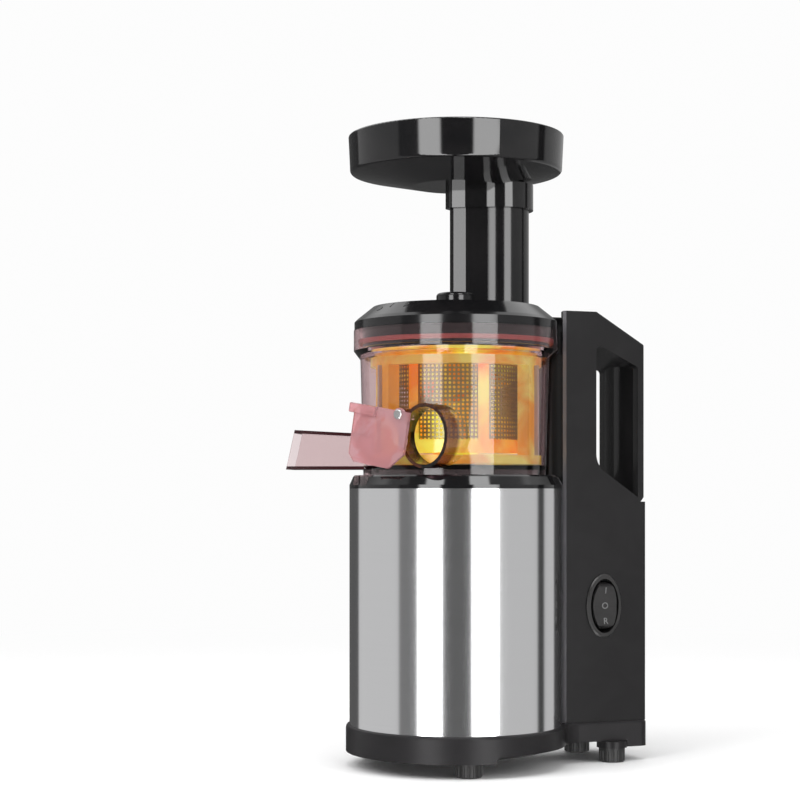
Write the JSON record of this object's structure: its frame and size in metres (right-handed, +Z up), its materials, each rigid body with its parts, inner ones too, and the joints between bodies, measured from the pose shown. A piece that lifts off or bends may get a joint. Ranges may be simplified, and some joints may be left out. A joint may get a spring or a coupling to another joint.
{
  "type": "cold press juicer",
  "caption": "Upright slow juicer: steel-wrapped motor base with a carrying tower, clear juicing bowl with spout, auger and brush, locking lid and round hopper tray.",
  "frame": {"origin": "on the bowl's vertical axis, at the surface that the four feet stand on", "axes": "+Z up along the bowl's axis, -Y to the front, away from the tower, +X to the side of the switch"},
  "size_m": [0.1515, 0.2434, 0.43],
  "materials": {
    "gloss_black_plastic": "polished black ABS",
    "satin_black_plastic": "fine satin black ABS",
    "switch_plastic": "glossy black nylon",
    "rose_clear_plastic": "clear rose-smoke copolyester",
    "amber_plastic": "amber moulded food-grade plastic",
    "brush_plastic": "pale amber moulded plastic",
    "gear_plastic": "natural acetal",
    "silicone": "food-grade silicone",
    "foot_rubber": "black moulded rubber",
    "wrap_steel": "brushed stainless sheet",
    "strainer_steel": "perforated stainless sheet",
    "screw_steel": "bright steel",
    "bush_bronze": "sintered bronze",
    "cast_alloy": "die-cast alloy",
    "core_steel": "laminated electrical steel",
    "copper_winding": "varnished copper",
    "board_laminate": "green laminate",
    "component_case": "moulded component case"
  },
  "bodies": {
    "base": {"base_shell": "satin_black_plastic", "rubber_feet": "foot_rubber", "foot_screws": "screw_steel", "motor_housing": "satin_black_plastic", "steel_wrap": "wrap_steel", "top_collar": "gloss_black_plastic", "drive_bush": "bush_bronze", "shaft_seal": "silicone", "tower_right_half": "satin_black_plastic", "tower_left_half": "satin_black_plastic", "tower_screws": "screw_steel", "tower_rear_cover": "satin_black_plastic", "cord_gland": "foot_rubber", "switch_bezel": "switch_plastic", "switch_body": "satin_black_plastic", "control_board": "board_laminate", "run_capacitor": "component_case", "safety_switch": "component_case", "motor_mount": "cast_alloy", "motor_frames": "cast_alloy", "motor_bearings": "screw_steel", "motor_stator": "core_steel", "motor_windings": "copper_winding", "gearbox_case": "cast_alloy", "gearbox_cover": "cast_alloy", "gearbox_screws": "screw_steel", "output_bush": "bush_bronze", "reduction_pin": "screw_steel"},
    "rocker": {"switch_rocker": "switch_plastic"},
    "interlock": {"interlock_pin": "satin_black_plastic"},
    "rotor": {"rotor_core": "core_steel", "rotor_shaft": "screw_steel", "motor_pinion": "screw_steel", "cooling_fan": "gear_plastic"},
    "reduction": {"reduction_gear": "gear_plastic"},
    "drive": {"output_gear": "gear_plastic", "drive_shaft": "screw_steel"},
    "bowl": {"juicing_bowl": "rose_clear_plastic", "cap_hinge_pin": "screw_steel", "idler_pins": "screw_steel", "strainer_frame": "amber_plastic", "strainer_mesh": "strainer_steel"},
    "right_idler": {"right_brush_idler": "gear_plastic"},
    "left_idler": {"left_brush_idler": "gear_plastic"},
    "brush": {"brush_frame": "brush_plastic", "wiper_blades": "silicone"},
    "auger": {"auger": "amber_plastic", "auger_pin": "screw_steel"},
    "cap": {"juice_cap": "rose_clear_plastic", "cap_seal": "silicone"},
    "lid": {"lid": "gloss_black_plastic", "lid_gasket": "silicone", "lid_bush": "bush_bronze"},
    "tray": {"hopper_tray": "gloss_black_plastic"}
  },
  "joints": [
    {"name": "switch_rock", "type": "hinge", "parent": "base", "child": "rocker", "pos_m": [0.022, 0.0986, 0.108], "axis": [0, 1, 0], "range_deg": [-9, 9]},
    {"name": "interlock_press", "type": "slide", "parent": "base", "child": "interlock", "axis": [0, 0, 1], "range_m": [0, 0.003]},
    {"name": "rotor_spin", "type": "hinge", "parent": "base", "child": "rotor", "pos_m": [0, 0, 0.08], "axis": [0, 0, 1], "continuous": true},
    {"name": "reduction_spin", "type": "hinge", "parent": "base", "child": "reduction", "pos_m": [0, -0.0325, 0.125], "axis": [0, 0, 1], "continuous": true},
    {"name": "drive_spin", "type": "hinge", "parent": "base", "child": "drive", "pos_m": [0, 0, 0.14], "axis": [0, 0, 1], "continuous": true},
    {"name": "bowl_lift", "type": "slide", "parent": "base", "child": "bowl", "axis": [0, 0, 1], "range_m": [0, 0.05]},
    {"name": "auger_spin", "type": "hinge", "parent": "bowl", "child": "auger", "pos_m": [0, 0, 0.25], "axis": [0, 0, 1], "continuous": true},
    {"name": "right_idler_spin", "type": "hinge", "parent": "bowl", "child": "right_idler", "pos_m": [0.026, 0, 0.208], "axis": [0, 0, 1], "continuous": true},
    {"name": "left_idler_spin", "type": "hinge", "parent": "bowl", "child": "left_idler", "pos_m": [-0.026, 0, 0.208], "axis": [0, 0, 1], "continuous": true},
    {"name": "brush_spin", "type": "hinge", "parent": "bowl", "child": "brush", "pos_m": [0, 0, 0.24], "axis": [0, 0, 1], "continuous": true},
    {"name": "cap_swing", "type": "hinge", "parent": "bowl", "child": "cap", "pos_m": [0.04627, -0.05747, 0.2372], "axis": [0.5446, -0.8387, 0], "range_deg": [-25, 100]},
    {"name": "lid_lift", "type": "slide", "parent": "bowl", "child": "lid", "axis": [0, 0, 1], "range_m": [0, 0.1]},
    {"name": "tray_lift", "type": "slide", "parent": "lid", "child": "tray", "axis": [0, 0, 1], "range_m": [0, 0.05]}
  ],
  "couplings": [
    {"joint": "reduction_spin", "follows": "rotor_spin", "ratio": -0.2381},
    {"joint": "drive_spin", "follows": "rotor_spin", "ratio": 0.056689},
    {"joint": "auger_spin", "follows": "rotor_spin", "ratio": 0.056689},
    {"joint": "right_idler_spin", "follows": "rotor_spin", "ratio": -0.066138},
    {"joint": "left_idler_spin", "follows": "rotor_spin", "ratio": -0.066138},
    {"joint": "brush_spin", "follows": "rotor_spin", "ratio": -0.020886},
    {"joint": "interlock_press", "follows": "lid_lift", "ratio": 0.03}
  ]
}
